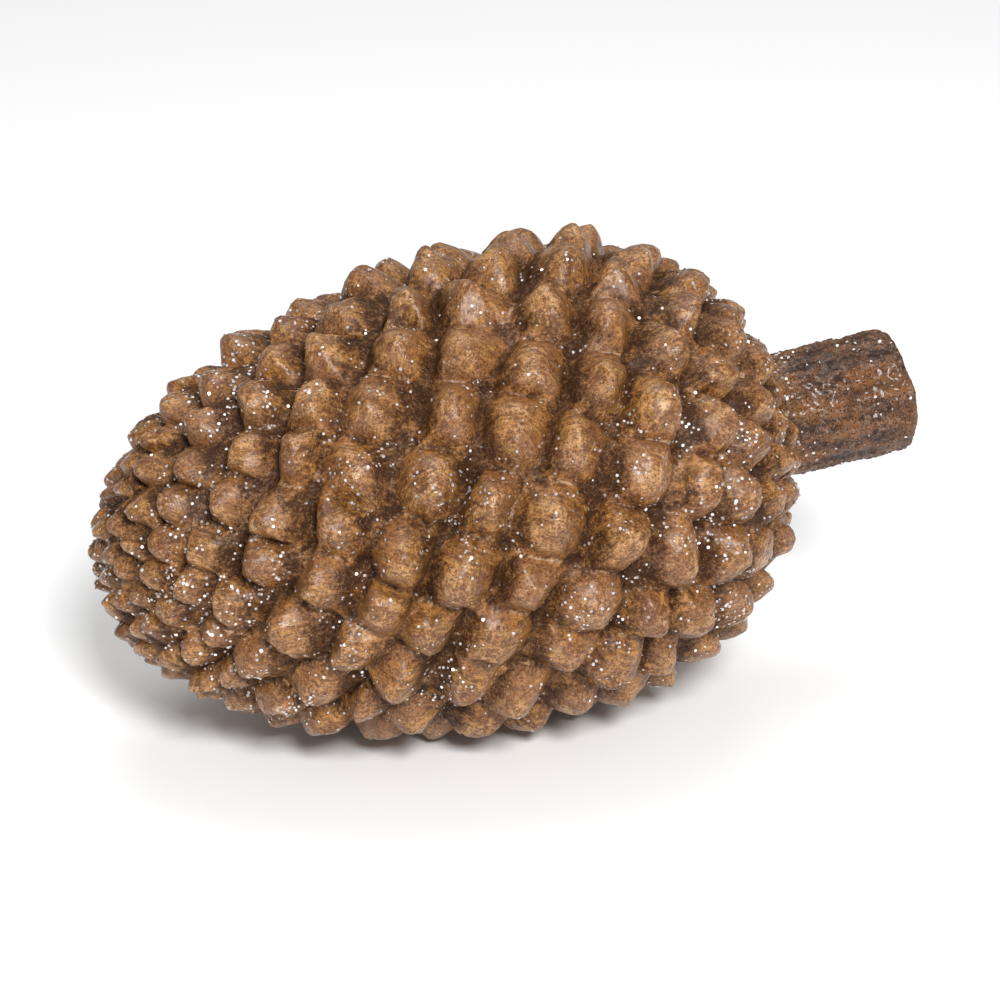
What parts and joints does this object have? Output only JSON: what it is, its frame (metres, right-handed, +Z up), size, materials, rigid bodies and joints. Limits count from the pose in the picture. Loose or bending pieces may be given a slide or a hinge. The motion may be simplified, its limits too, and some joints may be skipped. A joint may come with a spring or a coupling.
{
  "type": "pine cone ornament",
  "caption": "Closed egg-shaped pine cone with knobbly scales in spiral rows and a stub of stem, lying on its side on small flats.",
  "frame": {"origin": "centre of the box's bottom, on the surface that the cone lies on", "axes": "+X along the cone, from its tip towards its stem; +Z up"},
  "size_m": [0.1432, 0.0846, 0.0834],
  "materials": {
    "painted_scales": "golden brown paint with a dark wash in the valleys, under clear lacquer with silver glitter",
    "painted_bark": "rough grey-brown painted bark with a little silver glitter"
  },
  "bodies": {
    "root": {"cone": "painted_scales", "stem": "painted_bark"}
  },
  "joints": []
}
